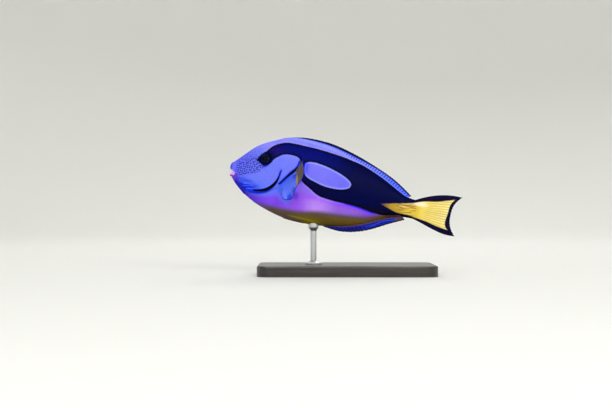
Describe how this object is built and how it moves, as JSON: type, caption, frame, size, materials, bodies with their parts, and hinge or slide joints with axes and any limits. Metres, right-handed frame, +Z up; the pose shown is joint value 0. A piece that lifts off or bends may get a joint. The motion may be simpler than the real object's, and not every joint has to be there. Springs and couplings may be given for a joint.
{
  "type": "regal blue tang display model",
  "caption": "Life-size regal blue tang, a still museum model held nose up by a rod on a flat rectangular base.",
  "frame": {"origin": "middle of the model's box, on the surface that the stand's base rests on", "axes": "+X runs from the fish's head to its tail along the base, +Y to the fish's right side, +Z up"},
  "size_m": [0.1976, 0.0944, 0.1168],
  "materials": {
    "head_skin": "satin",
    "trunk_skin": "satin",
    "dark_skin": "satin",
    "back_fin": "satin",
    "dark_fin": "satin",
    "yellow_fin": "satin",
    "side_fin": "satin",
    "belly_fin": "satin",
    "eye": "gloss",
    "tail_spine": "satin",
    "stand_wood": "ebonised, satin",
    "stand_steel": "brushed"
  },
  "bodies": {
    "root": {"head": "head_skin", "trunk": "trunk_skin", "tail_base": "dark_skin", "dorsal_fin": "back_fin", "anal_fin": "dark_fin", "tail_fin": "yellow_fin", "pectoral_fin_left": "side_fin", "pectoral_fin_right": "side_fin", "pelvic_fin_left": "belly_fin", "pelvic_fin_right": "belly_fin", "eye_left": "eye", "eye_right": "eye", "tail_spine_left": "tail_spine", "tail_spine_right": "tail_spine", "stand_base": "stand_wood", "stand_rod": "stand_steel"}
  },
  "joints": []
}
